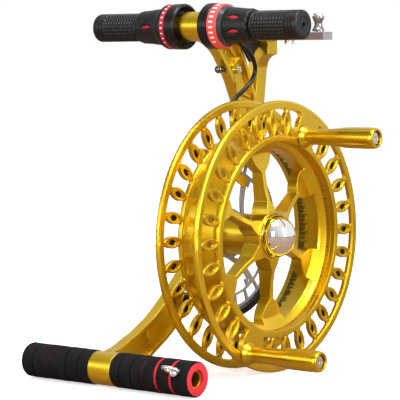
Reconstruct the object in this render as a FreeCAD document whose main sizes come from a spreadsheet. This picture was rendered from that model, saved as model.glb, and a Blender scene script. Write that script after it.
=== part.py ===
import FreeCAD, Part
import math
import os

import Sketcher
from FreeCAD import Placement, Rotation, Vector

# Large kite-line reel that stands on a foam belly bar and on the two flanges of its wheel.
#
# Row frame: the origin is on the axis of the belly bar, half-way along its tube; +X runs along
# the spindle towards the winding knobs, +Y points away from the user, +Z is up.
# The wheel parts are drawn about the spool's centre and the handlebar parts about the bar's own
# centre; each is then moved to its place by the Placement of its sub-part.

DIMENSIONS = {
    # wheel
    "wheel_radius": 150.0,
    "wheel_width": 56.7,
    "rim_thick": 6.0,
    "rim_round": 2.0,
    "web_recess": 1.5,
    "web_inner": 112.0,
    "web_outer": 140.5,
    "drum_inner": 105.0,
    "drum_wall": 4.0,
    "eye_count": 30,
    "eye_centre": 125.5,
    "eye_half_length": 15.6,
    "eye_half_width": 6.6,
    "eye_lip": 2.2,
    "eye_raise": 0.9,
    "eye_hole_length": 6.2,
    "eye_hole_width": 3.3,
    "eye_hole_depth": 1.2,
    "pad_angle": 66.0,
    "pad_half_angle": 9.5,
    # spokes and hub
    "spoke_count": 6,
    "spoke_angle": 36.0,
    "spoke_half_thick": 2.7,
    "spoke_ring_inner": 97.5,
    "spoke_ring_front": 15.0,
    "spoke_ring_rear": -5.0,
    "hub_radius": 25.0,
    "hub_front": 19.0,
    "hub_rear": -42.0,
    "hub_bore": 15.5,
    "bearing_radius": 14.0,
    "bearing_wide": 8.0,
    "cap_radius": 23.9,
    "cap_wall": 1.6,
    "tooth_count": 60,
    "tooth_tip": 98.5,
    "tooth_root": 101.5,
    "ratchet_thick": 6.0,
    # brake
    "rotor_radius": 86.0,
    "rotor_thick": 2.0,
    "rotor_mid": -43.0,
    "rotor_bolt_circle": 19.0,
    "rotor_bolts": 6,
    # spindle
    "axle_radius": 6.0,
    "axle_shoulder": 8.0,
    "running_gap": 0.05,
    # knobs
    "knob_base": 29.0,
    "knob_length": 96.0,
    "knob_radius": 11.7,
    "knob_neck": 8.9,
    "knob_pin": 4.0,
    "upper_knob_radius": 117.5,
    "upper_knob_angle": 68.0,
    "lower_knob_radius": 137.5,
    "lower_knob_angle": 243.5,
    # frame casting
    "frame_mid": -64.5,
    "frame_thick": 13.0,
    "frame_recess": 4.5,
    "frame_lip": 4.5,
    "hub_boss": 24.0,
    "hub_boss_front": -50.0,
    "hub_boss_rear": -76.0,
    # handlebar
    "bar_radius": 11.1,
    "bar_half": 139.5,
    "bar_y": -28.6,
    "bar_z": 231.8,
    "bar_boss": 16.5,
    "bar_boss_half": 14.0,
    "grip_radius": 16.0,
    "housing_radius": 25.5,
    # belly bar
    "foam_radius": 18.7,
    "foam_bore": 10.0,
    "belly_half": 115.0,
    "belly_tube_half": 112.0,
    "belly_tube_bore": 8.0,
    "sleeve_radius": 18.0,
    "sleeve_left": -19.4,
    "sleeve_right": 10.8,
    # spool centre seen from the belly bar
    "reel_x": 55.0,
    "reel_y": 189.1,
    # line guide
    "guide_y": 83.0,
    "guide_half_deep": 9.0,
    "guide_floor": 217.0,
    "guide_high": 9.0,
    "guide_left": -70.0,
    "guide_right": 33.0,
    "roller_spread": 20.0,
    "roller_radius": 6.8,
    "roller_waist": 4.2,
    "roller_high": 17.0,
    # brake cable
    "cable_radius": 2.5,
}

doc = FreeCAD.newDocument("kite_reel")
sheet = doc.addObject("Spreadsheet::Sheet", "dims")
for row, (alias, number_) in enumerate(DIMENSIONS.items(), start=1):
    sheet.set("A%d" % row, alias)
    sheet.set("B%d" % row, str(number_))
    sheet.setAlias("B%d" % row, alias)
doc.recompute()


class Size:
    """A number together with the sheet formula that it comes from."""

    def __init__(self, value, formula):
        self.value = float(value)
        self.formula = formula

    def joined(self, sign, other, value, turned=False):
        ends = (formula(other), self.formula) if turned else (self.formula, formula(other))
        return Size(value, "(%s %s %s)" % (ends[0], sign, ends[1]))

    def __add__(self, other):
        return self.joined("+", other, self.value + plain(other))

    def __radd__(self, other):
        return self.joined("+", other, self.value + plain(other), True)

    def __sub__(self, other):
        return self.joined("-", other, self.value - plain(other))

    def __rsub__(self, other):
        return self.joined("-", other, plain(other) - self.value, True)

    def __mul__(self, other):
        return self.joined("*", other, self.value * plain(other))

    def __rmul__(self, other):
        return self.joined("*", other, self.value * plain(other), True)

    def __truediv__(self, other):
        return self.joined("/", other, self.value / plain(other))

    def __rtruediv__(self, other):
        return self.joined("/", other, plain(other) / self.value, True)

    def __neg__(self):
        return Size(-self.value, "(0 - %s)" % self.formula)


def plain(size):
    return size.value if isinstance(size, Size) else float(size)


def formula(size):
    return size.formula if isinstance(size, Size) else "%.6f" % size


def cosine(angle):
    return Size(math.cos(math.radians(plain(angle))), "cos(%s * 1 deg)" % formula(angle))


def sine(angle):
    return Size(math.sin(math.radians(plain(angle))), "sin(%s * 1 deg)" % formula(angle))


def polar(radius, angle):
    return (cosine(angle) * radius, sine(angle) * radius)


class Dims:
    """Every driving dimension of the sheet as a Size, by its alias."""


for alias in DIMENSIONS:
    setattr(Dims, alias, Size(sheet.get(alias), "dims.%s" % alias))

REEL_Z = Dims.wheel_radius - Dims.foam_radius
HALF_WIDTH = Dims.wheel_width / 2
RIM_BACK = HALF_WIDTH - Dims.rim_thick
FRAME_FRONT = Dims.frame_mid + Dims.frame_thick / 2
FRAME_BACK = Dims.frame_mid - Dims.frame_thick / 2

SPOOL_CENTRE = (Dims.reel_x, Dims.reel_y, REEL_Z)
BAR_CENTRE = (Dims.reel_x + Dims.frame_mid, Dims.reel_y + Dims.bar_y, REEL_Z + Dims.bar_z)
BELLY_CENTRE = (0.0, 0.0, 0.0)
KNOBS = {
    "upper": (Dims.upper_knob_radius, Dims.upper_knob_angle),
    "lower": (Dims.lower_knob_radius, Dims.lower_knob_angle),
}

# Places on the frame, (y, z) about the spool's centre.
CLAMP_SCREW = (39.4, 183.5)
CALIPER_PIVOT = (-6.0, 82.0)
CALIPER_SLOT = 10.8
PAD_TRAVEL = 0.8
LEVER_END = (17.0, 94.0)
PAWL_PIVOT = (-72.0, -60.0)
PAWL_TIP = (-59.85, -76.2)
TOOTH_TURN = -1.75
GUARD_FOOT = polar(Dims.rotor_radius + 6.6, 230.0)
EYE_X = 99.0

# Corners of the cable's route (x, y, z) about the spool's centre, from the twist control down.
CABLE_ROUTE = [
    (-41.3, 4.5, 219.5), (-41.7, 18.0, 212.4), (-42.7, 31.5, 207.0), (-44.0, 45.0, 198.0),
    (-45.5, 53.0, 184.5), (-47.0, 48.5, 171.5), (-49.5, 35.0, 160.0), (-51.0, 20.0, 151.0),
    (-49.0, 9.0, 140.0), (-44.5, 8.0, 125.0), (-39.5, 12.0, 112.0),
]

subparts = []


# ---------------------------------------------------------------- drawing helpers

def bind(item, prop, size):
    """Sets a property from the sheet, or to a plain number."""
    if isinstance(size, Size):
        item.setExpression(prop, size.formula)
    else:
        item.setExpression(prop, "%.6f" % size)


def place(item, label, base):
    """Names a sub-part and moves it to its place in the row frame."""
    item.Label = label
    for axis, size in zip("xyz", base):
        bind(item, "Placement.Base.%s" % axis, size)
    subparts.append(item)
    return item


def new_body(label, base=SPOOL_CENTRE):
    return place(doc.addObject("PartDesign::Body", label), label, base)


def new_sketch(body, plane, offset=0.0, turn=None):
    """Empty sketch on an origin plane, moved along its normal and turned about it."""
    made = body.newObject("Sketcher::SketchObject", "sketch")
    face = [item for item in body.Origin.OriginFeatures if item.Role == plane + "_Plane"][0]
    made.AttachmentSupport = [(face, "")]
    made.MapMode = "FlatFace"
    if turn is not None:
        made.AttachmentOffset = Placement(Vector(), Rotation(Vector(0, 0, 1), plain(turn)))
        bind(made, "AttachmentOffset.Rotation.Angle", turn)
    bind(made, "AttachmentOffset.Base.z", offset)
    return made


def fix_point(made, item, end, point):
    """Holds one end of a drawn line or arc at a point that the sheet gives."""
    for kind, size, axis in (("DistanceX", point[0], -2), ("DistanceY", point[1], -1)):
        if abs(plain(size)) < 1e-9:
            made.addConstraint(Sketcher.Constraint("PointOnObject", item, end, axis))
            continue
        index = made.addConstraint(Sketcher.Constraint(kind, -1, 1, item, end, plain(size)))
        if isinstance(size, Size):
            made.setExpression("Constraints[%d]" % index, size.formula)


def circle(made, radius, centre=(0.0, 0.0)):
    middle = Vector(plain(centre[0]), plain(centre[1]), 0)
    item = made.addGeometry(Part.Circle(middle, Vector(0, 0, 1), plain(radius)), False)
    if plain(centre[0]) == 0 and plain(centre[1]) == 0:
        made.addConstraint(Sketcher.Constraint("Coincident", item, 3, -1, 1))
    else:
        fix_point(made, item, 3, centre)
    index = made.addConstraint(Sketcher.Constraint("Radius", item, plain(radius)))
    if isinstance(radius, Size):
        made.setExpression("Constraints[%d]" % index, radius.formula)


def arc_centre(start, end, radius):
    """Centre of the shorter arc from start to end; a positive radius turns to the left."""
    chord = end - start
    reach = math.sqrt(max(radius * radius - chord.Length ** 2 / 4, 0.0))
    left = Vector(-chord.y, chord.x, 0).normalize()
    return (start + end) * 0.5 + left * math.copysign(reach, radius)


def outline(made, points):
    """Closed outline. A point is (x, y), or (x, y, radius) when an arc leads to it."""
    spots = [Vector(plain(point[0]), plain(point[1]), 0) for point in points]
    joints = []
    for index, point in enumerate(points):
        start, end = spots[index - 1], spots[index]
        if len(point) == 2:
            item = made.addGeometry(Part.LineSegment(start, end), False)
            joints.append((item, 1, 2))
            continue
        radius = plain(point[2])
        centre = arc_centre(start, end, radius)
        first, last = (start, end) if radius > 0 else (end, start)
        base = Part.Circle(centre, Vector(0, 0, 1), abs(radius))
        angles = [math.atan2(spot.y - centre.y, spot.x - centre.x) for spot in (first, last)]
        item = made.addGeometry(Part.ArcOfCircle(base, angles[0], angles[1]), False)
        joints.append((item, 1, 2) if radius > 0 else (item, 2, 1))
        made.addConstraint(Sketcher.Constraint("Radius", item, abs(radius)))
    for index, (item, head, tail) in enumerate(joints):
        before = joints[index - 1]
        made.addConstraint(Sketcher.Constraint("Coincident", before[0], before[2], item, head))
        fix_point(made, item, tail, points[index])


def spline(made, points):
    """Smooth open curve through points; the outline it belongs to is closed by its neighbours."""
    curve = Part.BSplineCurve()
    curve.interpolate([Vector(point[0], point[1], 0) for point in points])
    return made.addGeometry(curve, False)


def feature(body, kind, made, **values):
    item = body.newObject("PartDesign::" + kind, kind.lower())
    if made is not None:
        item.Profile = made
    item.Refine = False
    for prop, value in values.items():
        if isinstance(value, Size):
            bind(item, prop, value)
        else:
            setattr(item, prop, value)
    return item


def pad(body, made, length, **values):
    """Raises a sketch along its normal."""
    return feature(body, "Pad", made, Length=length, **values)


def pocket(body, made, length, **values):
    """Cuts a sketch away against its normal."""
    return feature(body, "Pocket", made, Length=length, **values)


def turned(body, points, kind="Revolution"):
    """Solid or cut turned about the X axis from an outline of (x, radius) points."""
    made = new_sketch(body, "XZ")
    outline(made, points)
    item = feature(body, kind, made, Angle=360.0)
    item.ReferenceAxis = (made, ["H_Axis"])
    return item


def around(body, items, count, span=360.0):
    """Repeats features about the X axis."""
    item = body.newObject("PartDesign::PolarPattern", "around")
    item.Originals = items
    item.Refine = False
    line = [axis for axis in body.Origin.OriginFeatures if axis.Role == "X_Axis"][0]
    item.Axis = (line, [""])
    item.Angle = span
    bind(item, "Occurrences", count)
    body.Tip = item
    return item


def tube(body, outer, inner, left, right, centre=(0.0, 0.0)):
    """Pipe along X from left to right."""
    made = new_sketch(body, "YZ", left)
    circle(made, outer, centre)
    if inner is not None:
        circle(made, inner, centre)
    return pad(body, made, right - left)


def group(label, shapes, base=SPOOL_CENTRE):
    """One node that holds several separate solids of the same kind."""
    item = doc.addObject("Part::Feature", label)
    item.Shape = Part.makeCompound(shapes)
    return place(item, label, base)


def rod(radius, length, base, direction):
    return Part.makeCylinder(plain(radius), plain(length), base, direction)


# ---------------------------------------------------------------- wheel

def lens_points(length, width, at):
    """Pointed eye shape, its long axis radial, centred at a distance from the spindle."""
    half, wide = plain(length), plain(width)
    radius = (half * half + wide * wide) / (2 * wide)
    return [(at - length, 0.0, radius), (at + length, 0.0, radius)]


def window_points(pitch):
    """Opening between two neighbouring eyes: waisted sides, rounded corners, curved ends."""
    half, wide, under = Dims.eye_half_length, Dims.eye_half_width, 0.5
    side = (plain(half) ** 2 + plain(wide) ** 2) / (2 * plain(wide))

    def beside(along):
        """Point a little under the eye's flank, at a distance along the eye from its middle."""
        off = math.sqrt(side * side - along * along) - (side - plain(wide)) - under
        reach = Dims.eye_centre + along
        lift = pitch / 2
        return (reach * cosine(lift) + off * sine(lift), reach * sine(lift) - off * cosine(lift))

    inner, outer = beside(-11.0), beside(11.0)
    low = polar(Dims.web_inner, 3.2)
    high = polar(Dims.web_outer, 3.9)
    corner, radius_in, radius_out = 4.2, plain(Dims.web_inner), plain(Dims.web_outer)
    return [
        (low[0], low[1], radius_in),
        (inner[0], inner[1], -corner),
        (outer[0], outer[1], side),
        (high[0], high[1], -corner),
        (high[0], -high[1], -radius_out),
        (outer[0], -outer[1], -corner),
        (inner[0], -inner[1], side),
        (low[0], -low[1], -corner),
    ]


def flange(label, side, padded):
    """One flange: rounded rim, thinner web with windows between raised eyes, solid inner ring."""
    body = new_body(label)
    front, back = (HALF_WIDTH, RIM_BACK) if side > 0 else (-RIM_BACK, -HALF_WIDTH)
    low, high = back + Dims.web_recess, front - Dims.web_recess
    slope = 1.2
    turned(body, [
        (back, Dims.drum_inner),
        (front, Dims.drum_inner),
        (front, Dims.web_inner - slope),
        (high, Dims.web_inner),
        (high, Dims.web_outer),
        (front, Dims.web_outer + slope),
        (front, Dims.wheel_radius - Dims.rim_round),
        (front - Dims.rim_round, Dims.wheel_radius, 2.0),
        (back + Dims.rim_round, Dims.wheel_radius),
        (back, Dims.wheel_radius - Dims.rim_round, 2.0),
        (back, Dims.web_outer + slope),
        (low, Dims.web_outer),
        (low, Dims.web_inner),
        (back, Dims.web_inner - slope),
    ])
    pitch = 360.0 / Dims.eye_count
    if padded:
        # two solid lands, opposite each other, carry the knobs
        for turn in (Dims.pad_angle, Dims.pad_angle + 180.0):
            land = new_sketch(body, "YZ", back, turn)
            reach, wide = Dims.web_outer + 2.0, Dims.pad_half_angle
            root = Dims.web_inner - 2.0
            ends = [polar(root, -wide), polar(reach, -wide), polar(reach, wide), polar(root, wide)]
            outline(land, [
                (ends[0][0], ends[0][1], -plain(root)),
                ends[1],
                (ends[2][0], ends[2][1], plain(reach)),
                ends[3],
            ])
            pad(body, land, front - back)
        for reach, angle in KNOBS.values():
            hole = new_sketch(body, "YZ", front)
            circle(hole, Dims.knob_pin, polar(reach, angle))
            pocket(body, hole, Dims.rim_thick)
    runs = (Dims.pad_angle, Dims.pad_angle + 180.0) if padded else (Dims.pad_angle,)
    half_run = Dims.eye_count / 2
    for start in runs:
        count = half_run - 1 if padded else Dims.eye_count
        span = pitch * (count - 1)
        window = new_sketch(body, "YZ", front, start + pitch)
        outline(window, window_points(pitch))
        cut = pocket(body, window, Dims.rim_thick)
        repeat(body, [cut], count, span)
        eyes = half_run - 2 if padded else Dims.eye_count
        span = pitch * (eyes - 1)
        turn = start + pitch * 1.5
        ring = new_sketch(body, "YZ", low - Dims.eye_raise, turn)
        outline(ring, lens_points(Dims.eye_half_length, Dims.eye_half_width, Dims.eye_centre))
        outline(ring, lens_points(Dims.eye_half_length - Dims.eye_lip * 1.9,
                                  Dims.eye_half_width - Dims.eye_lip, Dims.eye_centre))
        raised = pad(body, ring, high - low + Dims.eye_raise * 2)
        hole_size = (Dims.eye_hole_length, Dims.eye_hole_width, Dims.eye_centre)
        near = new_sketch(body, "YZ", high, turn)
        outline(near, lens_points(*hole_size))
        front_hole = pocket(body, near, Dims.eye_hole_depth)
        far = new_sketch(body, "YZ", low + Dims.eye_hole_depth, turn)
        outline(far, lens_points(*hole_size))
        rear_hole = pocket(body, far, Dims.eye_hole_depth)
        repeat(body, [raised, front_hole, rear_hole], eyes, span)
    return body


def repeat(body, items, count, span):
    """Repeats features about the spindle, the first and last a span apart."""
    item = around(body, items, count)
    bind(item, "Angle", span)
    return item


def drum():
    """Thin-walled barrel that the line is wound on, waisted slightly between the flanges."""
    body = new_body("line_drum")
    inner, outer = Dims.drum_inner, Dims.drum_inner + Dims.drum_wall
    turned(body, [
        (-RIM_BACK, inner),
        (RIM_BACK, inner),
        (RIM_BACK, outer + 1.0),
        (RIM_BACK - 5.0, outer, -13.0),
        (5.0 - RIM_BACK, outer),
        (-RIM_BACK, outer + 1.0, -13.0),
    ])
    return body


def spokes():
    """Hub barrel, six deep webs with forked roots, and the coned ring that fits inside the drum."""
    body = new_body("spoke_wheel")
    ring_outer = Dims.drum_inner
    hub = Dims.hub_radius
    cap_seat = Dims.cap_radius + 0.6
    turned(body, [
        (Dims.hub_rear, Dims.bearing_radius),
        (Dims.hub_rear + Dims.bearing_wide, Dims.bearing_radius),
        (Dims.hub_rear + Dims.bearing_wide, Dims.bearing_radius - 1.5),
        (4.0, Dims.bearing_radius - 1.5),
        (4.0, Dims.bearing_radius),
        (4.0 + Dims.bearing_wide, Dims.bearing_radius),
        (4.0 + Dims.bearing_wide, Dims.bearing_radius + 1.5),
        (Dims.hub_front - 3.0, Dims.bearing_radius + 1.5),
        (Dims.hub_front - 3.0, cap_seat),
        (Dims.hub_front, cap_seat),
        (Dims.hub_front, hub + 0.5),
        (Dims.hub_front - 2.0, hub + 2.0, 2.2),
        (0.0, hub + 1.0),
        (-6.0, hub - 1.5, -9.0),
        (Dims.hub_rear, hub - 1.5),
    ])
    ring = new_sketch(body, "XZ")
    outline(ring, [
        (Dims.spoke_ring_rear, Dims.spoke_ring_inner),
        (Dims.spoke_ring_rear, ring_outer),
        (Dims.spoke_ring_front + 2.0, ring_outer),
        (Dims.spoke_ring_front - 5.0, Dims.spoke_ring_inner, -14.0),
    ])
    feature(body, "Revolution", ring, Angle=360.0).ReferenceAxis = (ring, ["H_Axis"])
    web = new_sketch(body, "YZ", Dims.spoke_ring_rear + 1.0, Dims.spoke_angle)
    thick = Dims.spoke_half_thick
    root, fork = ring_outer - 2.5, 18.0
    outline(web, [
        (hub - 2.0, -9.0),
        (hub + 14.0, -thick, 34.0),
        (root - 31.0, -thick),
        (root, -fork, 32.0),
        (root, fork),
        (root - 31.0, thick, 32.0),
        (hub + 14.0, thick),
        (hub - 2.0, 9.0, 34.0),
    ])
    arm = pad(body, web, Dims.hub_front - Dims.spoke_ring_rear - 1.0)
    repeat(body, [arm], Dims.spoke_count, 360.0)
    # the webs slope from the hub's face down to the ring
    turned(body, [
        (Dims.hub_front - 1.0, hub + 2.0),
        (12.0, hub + 28.0),
        (8.0, Dims.spoke_ring_inner - 5.0),
        (Dims.spoke_ring_front + 2.5, ring_outer + 0.2),
        (Dims.hub_front + 9.0, ring_outer + 0.2),
        (Dims.hub_front + 9.0, hub + 2.0),
    ], "Groove")
    # the hub cap's seat is cut clear of the webs
    turned(body, [
        (Dims.hub_front - 3.0, Dims.bearing_radius + 1.5),
        (Dims.hub_front - 3.0, cap_seat),
        (Dims.hub_front + 1.0, cap_seat),
        (Dims.hub_front + 1.0, Dims.bearing_radius + 1.5),
    ], "Groove")
    return body


def ratchet_ring():
    """Ring of inward teeth behind the spokes."""
    body = new_body("ratchet_ring")
    rear = Dims.spoke_ring_rear - Dims.ratchet_thick
    tube(body, Dims.drum_inner, Dims.tooth_root, rear, Dims.spoke_ring_rear)
    tooth = new_sketch(body, "YZ", rear, TOOTH_TURN)
    root, tip = Dims.tooth_root + 0.4, Dims.tooth_tip
    outline(tooth, [
        polar(root, -1.6),
        polar(root, 1.9),
        polar(tip, 1.1),
        polar(tip, 0.3),
    ])
    one = pad(body, tooth, Dims.ratchet_thick)
    repeat(body, [one], Dims.tooth_count, 360.0)
    return body


def hub_cap():
    """Hollow half-ball cap pressed into the front of the hub."""
    body = new_body("hub_cap")
    base, outer = Dims.hub_front - 3.0, Dims.cap_radius
    inner = outer - Dims.cap_wall
    turned(body, [
        (base, inner),
        (Dims.hub_front, inner),
        (Dims.hub_front + inner, 0.0, -plain(inner)),
        (Dims.hub_front + outer, 0.0),
        (Dims.hub_front, outer, plain(outer)),
        (base, outer),
    ])
    return body


def bearing(label, left):
    body = new_body(label)
    tube(body, Dims.bearing_radius, Dims.axle_radius + Dims.running_gap, left, left + Dims.bearing_wide)
    return body


def rotor():
    """Thin brake disc: windowed rim, inner ring, pairs of swept struts, bolted centre."""
    body = new_body("brake_rotor")
    rim = Dims.rotor_radius
    back = Dims.rotor_mid - Dims.rotor_thick / 2
    front = back + Dims.rotor_thick
    tube(body, rim, 15.0, back, front)
    windows = 24
    slot = new_sketch(body, "YZ", front)
    inner, outer, wide = rim - 14.0, rim - 2.4, 6.0
    ends = [polar(inner, -wide), polar(outer, -wide), polar(outer, wide), polar(inner, wide)]
    outline(slot, [
        (ends[0][0], ends[0][1], -plain(inner)),
        ends[1],
        (ends[2][0], ends[2][1], plain(outer)),
        ends[3],
    ])
    cut = pocket(body, slot, Dims.rotor_thick)
    repeat(body, [cut], windows, 360.0)
    struts = 6
    swept = new_sketch(body, "YZ", front)
    inner, outer = 28.0, rim - 16.6
    # open space between two pairs of swept struts
    ends = [polar(inner, -16.0), polar(outer, 8.0), polar(outer, 56.0), polar(inner, 18.0)]
    outline(swept, [
        (ends[0][0], ends[0][1], -inner),
        (ends[1][0], ends[1][1], -70.0),
        (ends[2][0], ends[2][1], plain(outer)),
        (ends[3][0], ends[3][1], 70.0),
    ])
    between = pocket(body, swept, Dims.rotor_thick)
    # slit inside a pair
    slit = new_sketch(body, "YZ", front)
    ends = [polar(31.0, 26.0), polar(60.0, 55.0), polar(62.5, 60.5), polar(32.0, 36.0)]
    outline(slit, [
        ends[0],
        (ends[1][0], ends[1][1], -70.0),
        ends[2],
        (ends[3][0], ends[3][1], 70.0),
    ])
    inside = pocket(body, slit, Dims.rotor_thick)
    hole = new_sketch(body, "YZ", front)
    circle(hole, 1.8, polar(66.2, 62.0))
    round_hole = pocket(body, hole, Dims.rotor_thick)
    bolt = new_sketch(body, "YZ", front)
    circle(bolt, 2.6, polar(Dims.rotor_bolt_circle, 30.0))
    bolt_hole = pocket(body, bolt, Dims.rotor_thick)
    repeat(body, [between, inside, round_hole, bolt_hole], struts, 360.0)
    return body


def rotor_bolts():
    """Flat-headed screws that hold the disc on the hub's rear face."""
    back = plain(Dims.rotor_mid) - plain(Dims.rotor_thick) / 2
    shapes = []
    for index in range(int(plain(Dims.rotor_bolts))):
        turn = math.radians(30.0 + 60.0 * index)
        reach = plain(Dims.rotor_bolt_circle)
        base = Vector(back, reach * math.cos(turn), reach * math.sin(turn))
        along = Vector(1, 0, 0)
        head = rod(4.2, 2.4, base - along * 2.4, along)
        socket = rod(1.7, 1.4, base - along * 2.4, along)
        shank = rod(2.5, 1.6, base, along)
        shapes.append(head.fuse(shank).cut(socket))
    return group("rotor_bolts", shapes)


# ---------------------------------------------------------------- frame

# Centre line and half-width of each arm of the casting, from the hub outwards (y, z, half-width),
# about the spool's centre.
UPPER_ARM = [
    (-2.0, 10.0, 13.0), (-1.0, 38.0, 12.5), (11.0, 64.0, 12.5), (32.0, 87.0, 13.5),
    (50.0, 109.0, 14.5), (56.5, 130.0, 15.5), (54.5, 148.5, 16.0), (49.4, 160.6, 16.2),
    (43.0, 173.5, 16.3), (36.3, 186.3, 17.0), (27.0, 199.5, 17.5), (20.0, 209.5, 18.0),
    (6.0, 222.0, 18.0), (-12.0, 230.0, 17.0), (-26.0, 231.8, 16.0),
]
LOWER_ARM = [
    (-6.0, -6.0, 14.0), (-24.0, -23.0, 15.0), (-45.0, -46.0, 16.0), (-66.0, -67.0, 17.0),
    (-87.0, -85.0, 17.3), (-107.0, -99.3, 17.0), (-120.8, -106.9, 17.0), (-134.0, -114.5, 17.6),
    (-147.4, -121.0, 18.6), (-162.0, -127.0, 18.4), (-183.0, -131.0, 17.5),
]
GUIDE_POST = [
    (62.0, 112.0, 8.0), (74.0, 130.0, 8.5), (77.5, 148.0, 8.5), (79.5, 166.0, 8.8),
    (81.5, 182.0, 9.0), (83.0, 199.0, 9.0), (83.0, 214.0, 9.0),
]


def strip(stations, inset=0.0):
    """Left and right edges of an arm, square to its centre line."""
    line = Part.BSplineCurve()
    line.interpolate([Vector(y, z, 0) for y, z, half in stations])
    left, right = [], []
    for y, z, half in stations:
        along = line.tangent(line.parameter(Vector(y, z, 0)))[0]
        across = Vector(-along.y, along.x, 0) * (half - plain(inset))
        left.append((y + across.x, z + across.y))
        right.append((y - across.x, z - across.y))
    return left, right


def strip_outline(made, stations, inset=0.0):
    """Closed outline of an arm: two smooth edges joined by straight ends."""
    left, right = strip(stations, inset)
    first = spline(made, left)
    second = spline(made, right)
    for point, other, end in ((left[0], right[0], 1), (left[-1], right[-1], 2)):
        start = Vector(point[0], point[1], 0)
        finish = Vector(other[0], other[1], 0)
        item = made.addGeometry(Part.LineSegment(start, finish), False)
        made.addConstraint(Sketcher.Constraint("Coincident", first, end, item, 1))
        made.addConstraint(Sketcher.Constraint("Coincident", second, end, item, 2))


def bar(made, start, end, half):
    """Rectangle about a straight line between two points."""
    along = (Vector(end[0], end[1], 0) - Vector(start[0], start[1], 0)).normalize()
    side = Vector(-along.y, along.x, 0) * half
    outline(made, [
        (start[0] - side.x, start[1] - side.y),
        (end[0] - side.x, end[1] - side.y),
        (end[0] + side.x, end[1] + side.y),
        (start[0] + side.x, start[1] + side.y),
    ])


def boss(body, radius, left, right, centre=(0.0, 0.0)):
    return tube(body, radius, None, left, right, centre)


def main_frame():
    """One casting: hub boss, recessed arms to the handlebar and the belly bar, guide post."""
    body = new_body("main_frame")
    boss(body, Dims.hub_boss, Dims.hub_boss_rear, Dims.hub_boss_front)
    for stations in (UPPER_ARM, LOWER_ARM, GUIDE_POST):
        plate = new_sketch(body, "YZ", FRAME_BACK)
        strip_outline(plate, stations)
        pad(body, plate, Dims.frame_thick)
    recesses = (UPPER_ARM[2:12], LOWER_ARM[2:10])
    for stations in recesses:
        front = new_sketch(body, "YZ", FRAME_FRONT)
        strip_outline(front, stations, Dims.frame_lip)
        pocket(body, front, Dims.frame_recess)
        rear = new_sketch(body, "YZ", FRAME_BACK + Dims.frame_recess)
        strip_outline(rear, stations, Dims.frame_lip)
        pocket(body, rear, Dims.frame_recess)
    ribs = (
        ((17.0, 211.7), (33.6, 198.7)), ((40.6, 197.2), (27.6, 186.6)),
        ((-127.5, -98.0), (-118.5, -119.0)), ((-72.0, -60.0), (-64.0, -80.0)),
        ((24.0, 92.0), (44.0, 84.0)), ((35.0, 160.0), (61.0, 152.0)),
    )
    for start, end in ribs:
        rib = new_sketch(body, "YZ", FRAME_BACK + 1.0)
        bar(rib, start, end, 1.5)
        pad(body, rib, Dims.frame_thick - 2.0)
    bar_centre = (Dims.bar_y, Dims.bar_z)
    belly_centre = (-Dims.reel_y, -REEL_Z)
    half = Dims.bar_boss_half
    boss(body, Dims.bar_boss, Dims.frame_mid - half, Dims.frame_mid + half, bar_centre)
    boss(body, Dims.sleeve_radius, Dims.sleeve_left - Dims.reel_x, Dims.sleeve_right - Dims.reel_x,
         belly_centre)
    # block at the head of the guide post, carried forward over a hollow
    head = new_sketch(body, "XZ", -(Dims.guide_y + Dims.guide_half_deep))
    nose = FRAME_FRONT + 14.0
    outline(head, [
        (FRAME_BACK, Dims.guide_floor),
        (FRAME_BACK, Dims.guide_floor - 31.0),
        (FRAME_FRONT, Dims.guide_floor - 31.0),
        (nose, Dims.guide_floor - 16.0, -15.0),
        (nose, Dims.guide_floor),
    ])
    pad(body, head, Dims.guide_half_deep * 2)
    # lug that the brake caliper is bolted to, behind the disc
    lug = new_sketch(body, "YZ", FRAME_BACK + 2.0)
    outline(lug, [(-26.0, 66.0), (8.0, 60.0), (12.0, 84.0), (-26.0, 96.0)])
    pad(body, lug, Dims.frame_thick - 2.0)
    # bosses on the lower arm for the pawl's pin and the guard's foot
    for radius, centre in ((6.5, PAWL_PIVOT), (8.0, GUARD_FOOT)):
        boss(body, radius, FRAME_BACK, FRAME_FRONT, centre)
    bores = (
        (Dims.axle_shoulder, (0.0, 0.0)),
        (Dims.bar_radius, bar_centre),
        (Dims.foam_bore, belly_centre),
        (2.1, CLAMP_SCREW),
        (4.0, (13.8, 204.7)),
    )
    for radius, centre in bores:
        cut = new_sketch(body, "YZ", 0.0)
        circle(cut, radius, centre)
        pocket(body, cut, 200.0)
    # slit that lets the handlebar boss close on the bar, and the relief slit in the upper arm
    for start, end in (((-28.6, 222.0), (-30.0, 205.0)), ((36.0, 174.5), (36.8, 160.4))):
        slit = new_sketch(body, "YZ", 0.0)
        bar(slit, start, end, 0.9)
        pocket(body, slit, 200.0)
    return body


def nut_shape(across, high, bore, base, direction):
    """Hexagon nut with its flats an across size apart."""
    along = Vector(direction).normalize()
    aside = Vector(0, 0, 1) if abs(along.z) < 0.9 else Vector(0, 1, 0)
    turn = Rotation(along, 60.0)
    reach = aside * (across / math.sqrt(3))
    corners = []
    for index in range(7):
        corners.append(base + reach)
        reach = turn.multVec(reach)
    face = Part.Face(Part.makePolygon(corners))
    return face.extrude(along * high).cut(rod(bore, high, base, along))


def spindle():
    """Fixed steel spindle, held in the hub boss, with a shoulder behind the wheel's rear bearing."""
    body = new_body("spindle")
    thin, thick = Dims.axle_radius, Dims.axle_shoulder
    turned(body, [
        (Dims.hub_boss_rear - 10.0, 0.0),
        (21.0, 0.0),
        (21.0, thin - 1.0),
        (20.0, thin),
        (Dims.hub_rear - 0.3, thin),
        (Dims.hub_rear - 0.3, thick + 2.0),
        (Dims.hub_boss_front, thick + 2.0),
        (Dims.hub_boss_front, thick),
        (Dims.hub_boss_rear, thick),
        (Dims.hub_boss_rear, thin),
        (Dims.hub_boss_rear - 9.0, thin),
        (Dims.hub_boss_rear - 10.0, thin - 1.0),
    ])
    return body


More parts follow.
